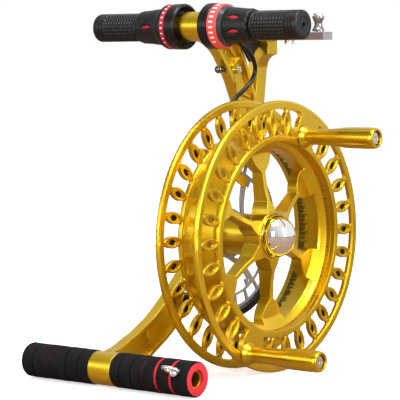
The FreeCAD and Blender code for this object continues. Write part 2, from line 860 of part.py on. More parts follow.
def spindle_nuts():
    """Hexagon nuts at both ends of the spindle."""
    bore = plain(Dims.axle_radius)
    rear = Vector(plain(Dims.hub_boss_rear) - 1.6, 0, 0)
    front = Vector(13.6, 0, 0)
    shapes = [
        nut_shape(18.0, 6.5, bore, rear, Vector(-1, 0, 0)),
        nut_shape(18.0, 6.0, bore, front, Vector(1, 0, 0)),
    ]
    return group("spindle_nuts", shapes)


def spindle_washers():
    bore = plain(Dims.axle_radius)
    shapes = []
    for left, thick in ((plain(Dims.hub_boss_rear) - 1.6, 1.6), (12.3, 1.3)):
        base, along = Vector(left, 0, 0), Vector(1, 0, 0)
        shapes.append(rod(11.5, thick, base, along).cut(rod(bore, thick, base, along)))
    return group("spindle_washers", shapes)


# ---------------------------------------------------------------- winding knobs

def knob_base_point(name):
    reach, angle = KNOBS[name]
    across, up = polar(reach, angle)
    return (Dims.reel_x, Dims.reel_y + across, REEL_Z + up)


def knob_sleeve(name):
    """Waisted hand grip that turns on its pin: flared foot, slim neck, fuller towards the end."""
    body = new_body(name + "_knob", knob_base_point(name))
    made = new_sketch(body, "XZ")
    left, right = plain(Dims.knob_base), plain(Dims.knob_base) + plain(Dims.knob_length)
    full, neck = plain(Dims.knob_radius), plain(Dims.knob_neck)
    bore, sunk = plain(Dims.knob_pin) + plain(Dims.running_gap), 8.2
    inside = [(left, full + 1.2), (left, bore), (right - 6.0, bore), (right - 6.0, sunk),
              (right, sunk), (right, full - 1.4)]
    outside = [(left, full + 1.2), (left + 2.0, full + 0.2), (left + 6.0, neck + 0.7),
               (left + 16.0, neck), (left + 34.0, neck + 0.4), (left + 58.0, full - 0.3),
               (left + 76.0, full), (right - 4.0, full - 0.2), (right - 1.2, full - 0.7),
               (right, full - 1.4)]
    skin = spline(made, outside)
    lines = []
    for start, end in zip(inside, inside[1:]):
        line = Part.LineSegment(Vector(start[0], start[1], 0), Vector(end[0], end[1], 0))
        lines.append(made.addGeometry(line, False))
    for before, after in zip(lines, lines[1:]):
        made.addConstraint(Sketcher.Constraint("Coincident", before, 2, after, 1))
    made.addConstraint(Sketcher.Constraint("Coincident", skin, 1, lines[0], 1))
    made.addConstraint(Sketcher.Constraint("Coincident", skin, 2, lines[-1], 2))
    item = feature(body, "Revolution", made, Angle=360.0)
    item.ReferenceAxis = (made, ["H_Axis"])
    return body


def knob_pins():
    """Steel pins fixed in the lands of the front flange."""
    shapes = []
    for reach, angle in KNOBS.values():
        across, up = polar(reach, angle)
        base = Vector(plain(RIM_BACK), plain(across), plain(up))
        length = plain(Dims.knob_base) + plain(Dims.knob_length) - 5.7 - plain(RIM_BACK)
        shapes.append(rod(Dims.knob_pin, length, base, Vector(1, 0, 0)))
    return group("knob_pins", shapes)


def knob_screws():
    """Pan-headed screws in the ends of the pins, sunk in the knobs."""
    shapes = []
    for reach, angle in KNOBS.values():
        across, up = polar(reach, angle)
        end = plain(Dims.knob_base) + plain(Dims.knob_length) - 5.7
        base = Vector(end, plain(across), plain(up))
        along = Vector(1, 0, 0)
        head = rod(6.9, 3.6, base, along)
        head = head.makeFillet(1.2, [edge for edge in head.Edges
                                     if edge.BoundBox.XMin > end + 3.5])
        socket = nut_shape(4.6, 2.2, 0.01, base + along * 1.6, along)
        shapes.append(head.cut(socket.common(rod(2.4, 2.2, base + along * 1.6, along))))
    return group("knob_screws", shapes)


# ---------------------------------------------------------------- handlebar

def handlebar():
    body = new_body("handlebar_tube", BAR_CENTRE)
    tube(body, Dims.bar_radius, Dims.bar_radius - 2.0, -Dims.bar_half, Dims.bar_half)
    return body


def on_bar(label, side, points):
    """Piece turned about the handlebar; side mirrors it to the other end."""
    body = new_body(label, BAR_CENTRE)
    if side < 0:
        points = [(-point[0],) + tuple(point[1:2]) + tuple(-bend for bend in point[2:])
                  for point in points]
    turned(body, points)
    return body


def twist_parts(name, side):
    """Control at one end of the bar: fixed housing, then the ring, collar and sleeve that turn."""
    bore = Dims.bar_radius
    free = Dims.bar_radius + Dims.running_gap
    core = 14.3
    wide = Dims.housing_radius
    on_bar(name + "_housing", side, [
        (22.5, bore), (30.0, bore), (30.0, wide - 0.4), (29.2, wide),
        (18.6, wide), (16.6, wide - 1.6), (16.6, wide - 3.2), (22.5, 17.5),
    ])
    on_bar(name + "_scale_ring", side, [
        (30.4, core), (42.0, core), (42.0, wide - 1.9), (41.2, wide - 1.3),
        (31.2, wide - 0.1), (30.4, wide - 0.7),
    ])
    on_bar(name + "_twist_collar", side, [
        (42.0, core), (47.2, core), (47.2, 20.7), (42.0, wide - 2.6),
    ])
    on_bar(name + "_twist_sleeve", side, [
        (30.4, free), (79.6, free), (79.6, 17.2), (78.4, 18.3), (62.0, 18.9, 300.0),
        (47.2, 20.4, 200.0), (47.2, core), (30.4, core),
    ])


def hand_grip(name, side):
    """Rubber end grip with three ribs and a closed end with a small hole."""
    points = [(80.0, Dims.bar_radius), (Dims.bar_half, Dims.bar_radius), (Dims.bar_half, 2.4)]
    end = plain(Dims.bar_half) + 4.0
    full = Dims.grip_radius
    points += [(end, 2.4), (end, full - 2.8), (end - 1.6, full - 0.8), (end - 3.0, full)]
    for start in (end - 5.0, end - 9.5, end - 14.0):
        points += [(start, full), (start - 0.5, full - 1.3), (start - 1.7, full - 1.3),
                   (start - 2.2, full)]
    points += [(81.0, full), (80.0, full - 1.0)]
    return on_bar(name + "_grip", side, points)


# ---------------------------------------------------------------- belly bar

def belly_bar():
    body = new_body("belly_tube", BELLY_CENTRE)
    tube(body, Dims.foam_bore, Dims.belly_tube_bore, -Dims.belly_tube_half, Dims.belly_tube_half)
    left = new_body("left_foam", BELLY_CENTRE)
    tube(left, Dims.foam_radius, Dims.foam_bore, -Dims.belly_half, Dims.sleeve_left)
    right = new_body("right_foam", BELLY_CENTRE)
    tube(right, Dims.foam_radius, Dims.foam_bore, Dims.sleeve_right, Dims.belly_half)
    return body, left, right


def strap_eye():
    """Steel eye screwed into the belly tube through the right foam."""
    out = Vector(0, -0.9, 0.43).normalize()
    centre = out * 26.0
    ring = Part.makeTorus(8.6, 2.1, centre, Vector(1, 0, 0).cross(out))
    shank = rod(2.6, 26.0 - 8.0 - 10.0, out * 10.0, out)
    flange_ = rod(5.0, 1.4, out * 18.9, out)
    eye = ring.fuse([shank, flange_]).removeSplitter()
    return group("strap_eye", [eye], (EYE_X, 0.0, 0.0))


# ---------------------------------------------------------------- line guide

def guide_rail():
    """Polished bar on the guide post that carries the two rollers."""
    body = new_body("guide_rail")
    made = new_sketch(body, "YZ", Dims.guide_left)
    y, z = Dims.guide_y, Dims.guide_floor
    half, high, cut = Dims.guide_half_deep, Dims.guide_high, 1.0
    outline(made, [
        (y - half, z), (y + half, z), (y + half, z + high - cut), (y + half - cut, z + high),
        (y - half + cut, z + high), (y - half, z + high - cut),
    ])
    pad(body, made, Dims.guide_right - Dims.guide_left)
    holes = new_sketch(body, "XY", z + high)
    for x in (-1, 1):
        circle(holes, 3.0, (Dims.roller_spread * x, y))
    for x in (7.0, 19.0):
        circle(holes, 2.5, (Dims.guide_left + x, y))
    pocket(body, holes, high)
    return body


def guide_roller(name, side):
    """Waisted steel roller on an upright pin."""
    base = (Dims.reel_x + Dims.roller_spread * side, Dims.reel_y + Dims.guide_y,
            REEL_Z + Dims.guide_floor + Dims.guide_high)
    body = new_body(name + "_guide_roller", base)
    made = new_sketch(body, "XZ")
    low, high = 0.6, 0.6 + plain(Dims.roller_high)
    bore = 3.0 + Dims.running_gap
    full, waist = Dims.roller_radius, Dims.roller_waist
    outline(made, [
        (bore, low), (full, low), (full, low + 2.2),
        (waist, low + Dims.roller_high / 2, -16.0), (full, high - 2.2, -16.0),
        (full, high), (bore, high),
    ])
    item = feature(body, "Revolution", made, Angle=360.0)
    item.ReferenceAxis = (made, ["V_Axis"])
    return body


def roller_pins():
    shapes = []
    up = Vector(0, 0, 1)
    floor = plain(Dims.guide_floor)
    top = floor + plain(Dims.guide_high) + plain(Dims.roller_high) + 1.2
    for side in (-1, 1):
        base = Vector(side * plain(Dims.roller_spread), plain(Dims.guide_y), floor)
        pin = rod(3.0, top - floor, base, up)
        crown = rod(5.6, 2.6, Vector(base.x, base.y, top), up)
        crown = crown.makeFillet(1.2, [edge for edge in crown.Edges
                                       if edge.BoundBox.ZMin > top + 2.5])
        shapes.append(pin.fuse(crown))
    return group("roller_pins", shapes)


def rail_nut():
    """Domed nut under the rail, below the inner roller."""
    base = Vector(-plain(Dims.roller_spread), plain(Dims.guide_y), plain(Dims.guide_floor))
    return group("rail_nut", [nut_shape(10.0, 4.2, 0.01, base, Vector(0, 0, -1)).common(
        rod(5.7, 4.2, base, Vector(0, 0, -1)))])


def rail_screws():
    """Countersunk screws that hold the rail on the post's block."""
    shapes = []
    top = plain(Dims.guide_floor) + plain(Dims.guide_high)
    for x in (7.0, 19.0):
        base = Vector(plain(Dims.guide_left) + x, plain(Dims.guide_y), plain(Dims.guide_floor))
        shank = rod(2.5, plain(Dims.guide_high), base, Vector(0, 0, 1))
        head = rod(4.6, 2.4, Vector(base.x, base.y, top), Vector(0, 0, 1))
        socket = rod(1.8, 1.6, Vector(base.x, base.y, top + 0.8), Vector(0, 0, 1))
        shapes.append(shank.fuse(head).cut(socket))
    return group("rail_screws", shapes)


# ---------------------------------------------------------------- brake

def caliper_body():
    """Block that straddles the disc's edge, with ears for its two bolts."""
    body = new_body("caliper_body")
    back, front = FRAME_FRONT, -35.0
    made = new_sketch(body, "YZ", back)
    outline(made, [
        (-18.0, 62.0), (6.0, 62.0), (12.0, 70.0), (12.0, 94.0), (6.0, 101.0), (-18.0, 101.0),
    ])
    pad(body, made, front - back)
    slot = new_sketch(body, "XZ", 30.0)
    mid, half = Dims.rotor_mid, CALIPER_SLOT / 2
    outline(slot, [(mid - half, 50.0), (mid + half, 50.0), (mid + half, 90.0), (mid - half, 90.0)])
    pocket(body, slot, 60.0)
    # lug that reaches inwards in front of the disc
    lug = new_sketch(body, "YZ", mid + half)
    bar(lug, (0.0, 67.0), (22.0, 55.0), 5.5)
    pad(body, lug, front - mid - half)
    # arm that holds the end of the cable's housing
    arm = new_sketch(body, "YZ", front - 9.0)
    outline(arm, [(2.0, 100.0), (12.0, 92.0), (18.5, 104.0), (18.5, 110.0), (7.0, 110.0)])
    pad(body, arm, 9.0)
    return body


def caliper_bolts():
    shapes = []
    for y, z in ((-13.0, 96.0), (-12.0, 67.0)):
        base = Vector(-35.0, y, z)
        head = rod(4.2, 4.0, base, Vector(1, 0, 0))
        socket = rod(2.2, 2.0, base + Vector(2, 0, 0), Vector(1, 0, 0))
        shapes.append(head.cut(socket))
    return group("caliper_bolts", shapes)


def brake_pads():
    """Fixed pad behind the disc and pressed pad in front of it."""
    mid = Dims.rotor_mid
    gap = Dims.rotor_thick / 2 + PAD_TRAVEL + 0.1
    places = (
        ("fixed_brake_pad", mid - CALIPER_SLOT / 2, mid - 1.5),
        ("pressed_brake_pad", mid + gap, mid + gap + 3.0),
    )
    for label, left, right in places:
        body = new_body(label)
        made = new_sketch(body, "YZ", left)
        outline(made, [(-15.0, 67.0), (3.0, 67.0), (3.0, 84.0), (-15.0, 84.0)])
        pad(body, made, right - left)


def caliper_lever():
    """Arm that the cable pulls; it turns on the caliper's front face."""
    body = new_body("caliper_lever")
    y, z = CALIPER_PIVOT
    made = new_sketch(body, "YZ", -34.6)
    bar(made, (y, z), LEVER_END, 4.0)
    pad(body, made, 4.0)
    for centre, radius in ((CALIPER_PIVOT, 8.5), (LEVER_END, 5.0)):
        boss(body, radius, -34.6, -30.6, centre)
    return body


def cable_anchor():
    base = Vector(-30.6, LEVER_END[0], LEVER_END[1])
    along = Vector(1, 0, 0)
    head = nut_shape(6.0, 1.2, 0.01, base, along).common(rod(3.3, 1.2, base, along))
    return group("cable_anchor", [head])


def cable_stop():
    """Barrel that ends the cable's housing, on an arm of the caliper."""
    end, before = Vector(*CABLE_ROUTE[-1]), Vector(*CABLE_ROUTE[-2])
    along = (end - before).normalize()
    start = end - along * 5.0
    radius = plain(Dims.cable_radius)
    barrel = rod(4.0, 11.0, start, along).cut(rod(radius, 5.0, start, along))
    return group("cable_stop", [barrel])


def brake_cable():
    """Black housing from the twist control, round in front of the frame, to the caliper."""
    points = [Vector(*point) for point in CABLE_ROUTE]
    edges = []
    start = points[0]
    for index in range(1, len(points) - 1):
        before, corner, after = points[index - 1], points[index], points[index + 1]
        come, leave = corner - before, after - corner
        turn = come.getAngle(leave)
        shorter = min(come.Length, leave.Length)
        radius = 0.45 * shorter / math.tan(turn / 2)
        back = corner - come.normalize() * (0.45 * shorter)
        ahead = corner + leave.normalize() * (0.45 * shorter)
        bisector = ((before - corner).normalize() + (after - corner).normalize()).normalize()
        depth = radius / math.cos(turn / 2) - radius
        middle = corner + bisector * depth
        edges.append(Part.makeLine(start, back))
        edges.append(Part.Arc(back, middle, ahead).toShape())
        start = ahead
        print("cable bend %d: radius %.0f mm" % (index, radius))
    edges.append(Part.makeLine(start, points[-1]))
    path = Part.Wire(edges)
    radius = plain(Dims.cable_radius)
    first = (points[1] - points[0]).normalize()
    section = Part.Wire(Part.makeCircle(radius, points[0], first))
    swept = path.makePipeShell([section], True, True)
    straight = math.pi * radius ** 2 * path.Length
    print("cable %.0f mm, volume ratio %.4f" % (path.Length, swept.Volume / straight))
    return group("brake_cable", [swept])


def cable_exit():
    """Black boot on the back of the right housing that the cable comes out of."""
    first, second = Vector(*CABLE_ROUTE[0]), Vector(*CABLE_ROUTE[1])
    along = (second - first).normalize()
    boot = Part.makeCone(5.4, 3.6, 16.0, first - along * 16.0, along)
    round_housing = rod(plain(Dims.housing_radius), 60.0,
                        Vector(-70.0, plain(Dims.bar_y), plain(Dims.bar_z)), Vector(1, 0, 0))
    return group("cable_exit", [boot.cut(round_housing)])


def cable_holder():
    """Black plate that bridges the upper arm and the guide post behind the cable."""
    body = new_body("cable_holder")
    made = new_sketch(body, "YZ", FRAME_FRONT)
    outline(made, [
        (39.5, 216.5), (39.5, 211.0), (50.0, 198.5), (55.5, 192.5), (58.5, 193.0),
        (61.5, 199.0), (64.5, 204.5, 20.0), (73.5, 210.5), (73.9, 216.5),
    ])
    pad(body, made, 3.0)
    return body


def rotor_guard():
    """Black strip curved round the lower edge of the disc, on a foot screwed to the lower arm."""
    body = new_body("rotor_guard")
    made = new_sketch(body, "YZ", Dims.rotor_mid - 4.0)
    inner, outer = Dims.rotor_radius + 2.6, Dims.rotor_radius + 9.6
    ends = [polar(inner, 227.0), polar(outer, 227.0), polar(outer, 311.0), polar(inner, 311.0)]
    outline(made, [
        (ends[0][0], ends[0][1], -plain(inner)), ends[1],
        (ends[2][0], ends[2][1], plain(outer)), ends[3],
    ])
    pad(body, made, 8.0)
    boss(body, 6.0, FRAME_FRONT, Dims.rotor_mid + 4.0, GUARD_FOOT)
    return body


def pawl_parts():
    """Pin on the lower arm, and the pawl that drops between the ring's teeth."""
    pin = new_body("pawl_pin")
    tube(pin, 3.0, None, FRAME_FRONT, Dims.spoke_ring_rear - 0.4, PAWL_PIVOT)
    pawl = new_body("pawl")
    left, right = -10.6, -5.8
    y, z = PAWL_PIVOT
    tip_y, tip_z = PAWL_TIP
    boss(pawl, 4.3, left, right, PAWL_PIVOT)
    made = new_sketch(pawl, "YZ", left)
    along = Vector(tip_y - y, tip_z - z, 0).normalize()
    side = Vector(-along.y, along.x, 0)
    outline(made, [
        (y - side.x * 3.0, z - side.y * 3.0),
        (tip_y - side.x * 0.8, tip_z - side.y * 0.8),
        (tip_y + side.x * 0.8, tip_z + side.y * 0.8),
        (y + side.x * 3.0, z + side.y * 3.0),
    ])
    pad(pawl, made, right - left)
    bore = new_sketch(pawl, "YZ", right)
    circle(bore, 3.0 + Dims.running_gap, PAWL_PIVOT)
    pocket(pawl, bore, right - left)


def frame_screw():
    """Socket screw in the recess of the upper arm."""
    floor = plain(FRAME_FRONT) - plain(Dims.frame_recess)
    base, along = Vector(floor, CLAMP_SCREW[0], CLAMP_SCREW[1]), Vector(1, 0, 0)
    head = rod(4.0, 3.6, base, along).cut(rod(2.0, 2.0, base + along * 1.6, along))
    shank = rod(2.1, 4.0, base - along * 4.0, along)
    return group("frame_screw", [head.fuse(shank)])


def cross_bolt():
    """Ball-ended bolt that stands out of the upper arm's near edge."""
    start = Vector(plain(Dims.frame_mid), 23.0, 184.0)
    along = Vector(0, -1, 0)
    collar = rod(4.3, 4.0, start, along)
    shank = rod(3.2, 15.0, start, along)
    ball = Part.makeSphere(4.6, start + along * 15.0)
    return group("cross_bolt", [collar.fuse([shank, ball])])


# ---------------------------------------------------------------- build and export

def build_all():
    main_frame()
    spindle()
    spindle_nuts()
    spindle_washers()
    handlebar()
    for name, side in (("right", 1), ("left", -1)):
        twist_parts(name, side)
        hand_grip(name, side)
    belly_bar()
    strap_eye()
    guide_rail()
    guide_roller("inner", -1)
    guide_roller("outer", 1)
    roller_pins()
    rail_nut()
    rail_screws()
    caliper_body()
    caliper_bolts()
    brake_pads()
    caliper_lever()
    cable_anchor()
    cable_stop()
    brake_cable()
    cable_exit()
    cable_holder()
    rotor_guard()
    pawl_parts()
    frame_screw()
    cross_bolt()
    flange("front_flange", 1, True)
    flange("rear_flange", -1, False)
    drum()
    spokes()
    ratchet_ring()
    hub_cap()
    bearing("rear_bearing", Dims.hub_rear)
    bearing("front_bearing", 4.0)
    rotor()
    rotor_bolts()
    for name in KNOBS:
        knob_sleeve(name)
    knob_pins()
    knob_screws()


def check_all():
    """Stops before anything is written when an object failed or a solid is not sound."""
    for item in doc.Objects:
        if "Invalid" in item.State or "Error" in item.State:
            raise RuntimeError("%s failed: %s" % (item.Label, item.State))
    for item in subparts:
        if item.Shape.isNull() or not item.Shape.isValid() or not item.Shape.Solids:
            raise RuntimeError("%s has no sound solid" % item.Label)


build_all()
doc.recompute()
check_all()
os.makedirs("parts", exist_ok=True)
for item in subparts:
    item.Shape.exportStep(os.path.join("parts", item.Label + ".step"))
    box = item.Shape.BoundBox
    print("%-20s %9.0f mm3  x %.1f..%.1f  y %.1f..%.1f  z %.1f..%.1f" % (
        item.Label, item.Shape.Volume, box.XMin, box.XMax, box.YMin, box.YMax, box.ZMin, box.ZMax))
print("sub-parts:", len(subparts))
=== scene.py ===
import math

import bpy
import numpy as np
from mathutils import Matrix, Vector


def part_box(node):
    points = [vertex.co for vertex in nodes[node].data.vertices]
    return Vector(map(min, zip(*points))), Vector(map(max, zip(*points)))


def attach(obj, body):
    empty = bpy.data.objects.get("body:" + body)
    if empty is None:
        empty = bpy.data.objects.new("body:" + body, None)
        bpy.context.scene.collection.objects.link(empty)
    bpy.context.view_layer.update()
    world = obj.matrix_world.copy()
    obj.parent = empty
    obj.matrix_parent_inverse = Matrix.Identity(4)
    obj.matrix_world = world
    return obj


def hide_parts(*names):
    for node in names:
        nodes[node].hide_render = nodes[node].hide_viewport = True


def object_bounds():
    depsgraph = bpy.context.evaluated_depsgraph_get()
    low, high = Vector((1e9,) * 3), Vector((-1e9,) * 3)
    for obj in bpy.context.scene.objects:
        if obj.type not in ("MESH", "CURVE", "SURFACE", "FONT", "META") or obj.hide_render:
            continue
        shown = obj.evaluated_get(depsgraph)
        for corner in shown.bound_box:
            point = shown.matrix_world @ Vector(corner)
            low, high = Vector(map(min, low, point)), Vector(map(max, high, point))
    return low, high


# Looks of the line reel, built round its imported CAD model. Everything is in metres, in the row frame.

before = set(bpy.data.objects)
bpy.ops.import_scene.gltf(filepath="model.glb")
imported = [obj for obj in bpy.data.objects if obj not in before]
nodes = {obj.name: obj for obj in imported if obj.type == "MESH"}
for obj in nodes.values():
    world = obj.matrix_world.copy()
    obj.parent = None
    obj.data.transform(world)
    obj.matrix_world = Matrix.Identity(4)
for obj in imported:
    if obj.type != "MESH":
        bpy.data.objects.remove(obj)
cad_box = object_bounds()

MM = 0.001


def middle(node):
    low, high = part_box(node)
    return (low + high) / 2


BAR = middle("handlebar_tube")
SPOOL = middle("line_drum")
BELLY = middle("belly_tube")


# ---------------------------------------------------------------- materials

def new_material(name):
    made = bpy.data.materials.new(name)
    made.use_nodes = True
    tree = made.node_tree
    return made, tree, tree.nodes["Principled BSDF"]


def noise(tree, scale, detail=3.0, rough=0.5, stretch=(1, 1, 1)):
    """Noise in the object's own space; stretch above 1 squeezes it along that axis."""
    place = tree.nodes.new("ShaderNodeTexCoord")
    mapping = tree.nodes.new("ShaderNodeMapping")
    mapping.inputs["Scale"].default_value = stretch
    tree.links.new(place.outputs["Object"], mapping.inputs["Vector"])
    made = tree.nodes.new("ShaderNodeTexNoise")
    made.inputs["Scale"].default_value = scale
    made.inputs["Detail"].default_value = detail
    made.inputs["Roughness"].default_value = rough
    tree.links.new(mapping.outputs["Vector"], made.inputs["Vector"])
    return made.outputs["Fac"]


def ramp(tree, value, low, high, start=0.35, end=0.65):
    """Numbers or colours from low to high as value goes from start to end."""
    made = tree.nodes.new("ShaderNodeMapRange" if isinstance(low, float) else "ShaderNodeValToRGB")
    if isinstance(low, float):
        for name, number in (("From Min", start), ("From Max", end), ("To Min", low), ("To Max", high)):
            made.inputs[name].default_value = number
        tree.links.new(value, made.inputs["Value"])
        return made.outputs["Result"]
    for element, colour, place in zip(made.color_ramp.elements, (low, high), (start, end)):
        element.color = (*colour, 1)
        element.position = place
    tree.links.new(value, made.inputs["Fac"])
    return made.outputs["Color"]


def bumped(tree, shader, height, strength, distance, round_edge=0.0):
    """Bump from a height, over edges that are rounded in the shading."""
    bump = tree.nodes.new("ShaderNodeBump")
    bump.inputs["Strength"].default_value = strength
    bump.inputs["Distance"].default_value = distance
    tree.links.new(height, bump.inputs["Height"])
    if round_edge:
        bevel = tree.nodes.new("ShaderNodeBevel")
        bevel.samples = 6
        bevel.inputs["Radius"].default_value = round_edge
        tree.links.new(bevel.outputs["Normal"], bump.inputs["Normal"])
    tree.links.new(bump.outputs["Normal"], shader.inputs["Normal"])


def gold(name, light=(0.82, 0.55, 0.016), deep=(0.70, 0.45, 0.010), rough=(0.30, 0.38), grain=0.04):
    """Bright gold anodised aluminium: faint clouding, fine grain and softly broken edges."""
    made, tree, shader = new_material(name)
    shader.inputs["Metallic"].default_value = 1.0
    cloud = noise(tree, 9.0, 4.0)
    tree.links.new(ramp(tree, cloud, deep, light), shader.inputs["Base Color"])
    tree.links.new(ramp(tree, noise(tree, 38.0, 5.0), rough[0], rough[1]), shader.inputs["Roughness"])
    shader.inputs["Coat Weight"].default_value = 0.35
    shader.inputs["Coat Roughness"].default_value = 0.12
    bumped(tree, shader, noise(tree, 1500.0, 2.0), grain, 0.0002, 0.0016)
    return made


def metal(name, colour, dark, rough, brushed=(1, 1, 1), scale=60.0, grain=0.08, edge=0.0004, bare=1.0):
    """Bare or plated steel; brushed squeezes the fine scratches along an axis."""
    made, tree, shader = new_material(name)
    shader.inputs["Metallic"].default_value = bare
    scratches = noise(tree, scale, 6.0, 0.6, brushed)
    tree.links.new(ramp(tree, noise(tree, 25.0, 3.0), dark, colour), shader.inputs["Base Color"])
    tree.links.new(ramp(tree, scratches, rough[0], rough[1]), shader.inputs["Roughness"])
    bumped(tree, shader, scratches, grain, 0.0001, edge)
    return made


def dull(name, colour, dark, rough, grain_scale=900.0, grain=0.25, depth=0.0003, edge=0.0005, patch=30.0,
         gloss=0.3):
    """Plastic, rubber or foam: mottled colour and a fine moulded grain."""
    made, tree, shader = new_material(name)
    shader.inputs["Specular IOR Level"].default_value = gloss
    tree.links.new(ramp(tree, noise(tree, patch, 5.0), dark, colour), shader.inputs["Base Color"])
    tree.links.new(ramp(tree, noise(tree, patch * 3, 4.0), rough[0], rough[1]), shader.inputs["Roughness"])
    bumped(tree, shader, noise(tree, grain_scale, 3.0), grain, depth, edge)
    return made


GOLD = gold("gold_anodised")
GOLD_WORN = gold("gold_knob", rough=(0.24, 0.32), grain=0.03)
# Painted shade: a dimmer gold for the eye recess floors that back on the drum.
GOLD_EYE_SHADE = gold("gold_eye_painted_shade", light=(0.50, 0.30, 0.008), deep=(0.40, 0.23, 0.006), rough=(0.28, 0.40))
# Painted shade: the darker gold of the drum's bore behind the spokes.
GOLD_BORE_SHADE = gold("gold_shadowed", light=(0.22, 0.15, 0.012), deep=(0.12, 0.08, 0.006), rough=(0.34, 0.46))
# Painted shade: the near black of the other eye recess floors.
EYE_SHADE_PAINT = dull("eye_recess_painted_shade", (0.012, 0.007, 0.004), (0.006, 0.004, 0.003), (0.85, 0.95), edge=0.0)
STEEL = metal("steel", (0.78, 0.78, 0.80), (0.66, 0.66, 0.68), (0.16, 0.30))
ROTOR = metal("rotor_steel", (0.46, 0.47, 0.50), (0.34, 0.35, 0.38), (0.30, 0.42), scale=220.0, grain=0.15,
              bare=0.4)
RAIL = metal("polished_rail", (0.62, 0.62, 0.64), (0.46, 0.46, 0.48), (0.30, 0.42), (0.1, 1, 1), 300.0, 0.04)
ROLLER = metal("roller_steel", (0.40, 0.40, 0.42), (0.24, 0.24, 0.26), (0.22, 0.34), grain=0.04)
CHROME = metal("chrome", (0.92, 0.92, 0.93), (0.88, 0.88, 0.90), (0.015, 0.035), grain=0.01)
DARK_CHROME = metal("black_nickel", (0.20, 0.20, 0.23), (0.12, 0.12, 0.14), (0.10, 0.18), grain=0.02)
PLASTIC = dull("black_plastic", (0.006, 0.006, 0.007), (0.003, 0.003, 0.004), (0.26, 0.38), 1200.0, 0.12)
COLLAR = dull("grey_collar", (0.045, 0.052, 0.056), (0.030, 0.034, 0.038), (0.26, 0.36), 1400.0, 0.08)
RUBBER = dull("black_rubber", (0.009, 0.009, 0.010), (0.005, 0.005, 0.006), (0.36, 0.50), 1500.0, 0.22)
GRIP = dull("grip_rubber", (0.012, 0.012, 0.013), (0.006, 0.006, 0.007), (0.30, 0.42), 1800.0, 0.20)
CABLE = dull("cable_jacket", (0.007, 0.007, 0.008), (0.004, 0.004, 0.005), (0.14, 0.22), 700.0, 0.06)
FOAM = dull("foam_black", (0.010, 0.010, 0.011), (0.005, 0.005, 0.006), (0.80, 0.95), 1100.0, 0.9, 0.0007,
            edge=0.0, patch=60.0, gloss=0.15)
FOAM_DARK_RED = dull("foam_dark_red", (0.11, 0.012, 0.016), (0.06, 0.008, 0.010), (0.8, 0.95), 1100.0, 0.9, 0.0007,
                     edge=0.0)
FOAM_RED = dull("foam_red", (0.78, 0.035, 0.055), (0.62, 0.022, 0.038), (0.75, 0.9), 1100.0, 0.7, 0.0006, edge=0.0)
RED = dull("red_ring", (0.95, 0.095, 0.085), (0.86, 0.065, 0.065), (0.24, 0.34), 1500.0, 0.06)
RED_DEEP = dull("red_ring_deep", (0.52, 0.018, 0.055), (0.40, 0.012, 0.040), (0.28, 0.38), 1500.0, 0.06)
INLAY = dull("red_inlay", (0.62, 0.010, 0.022), (0.50, 0.006, 0.014), (0.25, 0.35), 1200.0, 0.08, edge=0.0)
MARK = dull("white_mark", (0.90, 0.84, 0.84), (0.84, 0.76, 0.76), (0.35, 0.5), edge=0.0)
LINING = dull("brake_lining", (0.16, 0.13, 0.11), (0.09, 0.075, 0.065), (0.7, 0.85))


def paint(material, *names):
    for name in names:
        nodes[name].data.materials.clear()
        nodes[name].data.materials.append(material)


paint(GOLD, "main_frame", "handlebar_tube", "caliper_body", "line_drum", "spoke_wheel", "ratchet_ring",
      "front_flange", "rear_flange", "belly_tube")
paint(GOLD_WORN, "upper_knob", "lower_knob")
paint(STEEL, "spindle", "spindle_nuts", "spindle_washers", "strap_eye", "roller_pins", "rail_nut",
      "rail_screws", "caliper_bolts", "caliper_lever", "cable_anchor", "cable_stop", "rear_bearing",
      "front_bearing", "rotor_bolts", "knob_pins", "knob_screws", "pawl_pin", "pawl", "frame_screw")
paint(RAIL, "guide_rail")
paint(ROLLER, "inner_guide_roller", "outer_guide_roller")
paint(ROTOR, "brake_rotor")
paint(CHROME, "hub_cap")
paint(DARK_CHROME, "cross_bolt")
paint(PLASTIC, "right_housing", "left_housing", "cable_holder", "rotor_guard")
paint(RUBBER, "cable_exit")
paint(CABLE, "brake_cable")
paint(COLLAR, "right_twist_collar", "left_twist_collar")
paint(RED, "right_scale_ring")
paint(RED_DEEP, "left_scale_ring")
paint(LINING, "fixed_brake_pad", "pressed_brake_pad")


def paint_eye_shade():
    """Paints shade on the floors of the eye recesses: near black, or a dimmer deep gold where the front flange
    backs on the drum.
    """
    floor, reach, never = 25.35 * MM, 0.5 * MM, -1.0
    dark, shaded_gold = 1, 2
    for name, gold_below in (("front_flange", 35 * MM), ("rear_flange", never)):
        mesh = nodes[name].data
        mesh.materials.append(EYE_SHADE_PAINT)
        mesh.materials.append(GOLD_EYE_SHADE)
        for face in mesh.polygons:
            off = abs(abs(face.center.x - SPOOL.x) - floor)
            if off < reach and abs(face.normal.x) > 0.9:
                face.material_index = shaded_gold if face.center.y - SPOOL.y < gold_below else dark


def paint_bore_shade():
    """Paints shade on the drum's bore behind the spokes: it gets a darker gold than its outside."""
    mesh = nodes["line_drum"].data
    mesh.materials.append(GOLD_BORE_SHADE)
    bore, behind = 106 * MM, SPOOL.x - 4 * MM
    for face in mesh.polygons:
        if face.center.x < behind and math.hypot(face.center.y - SPOOL.y, face.center.z - SPOOL.z) < bore:
            face.material_index = 1


def soften_edges(name, width, limit):
    """Rounds the edges of a casting, width in mm, where they bend more than the limit in degrees."""
    bevel = nodes[name].modifiers.new("soft_edges", "BEVEL")
    bevel.limit_method = "ANGLE"
    bevel.angle_limit = math.radians(limit)
    bevel.width = width * MM
    bevel.segments = 3
    bevel.harden_normals = True


paint_eye_shade()
paint_bore_shade()
soften_edges("spoke_wheel", 1.4, 25)


# ---------------------------------------------------------------- mesh helpers

# Edges of a turned piece that bend more than this many degrees stay crisp.
CRISP_EDGE = 38.0


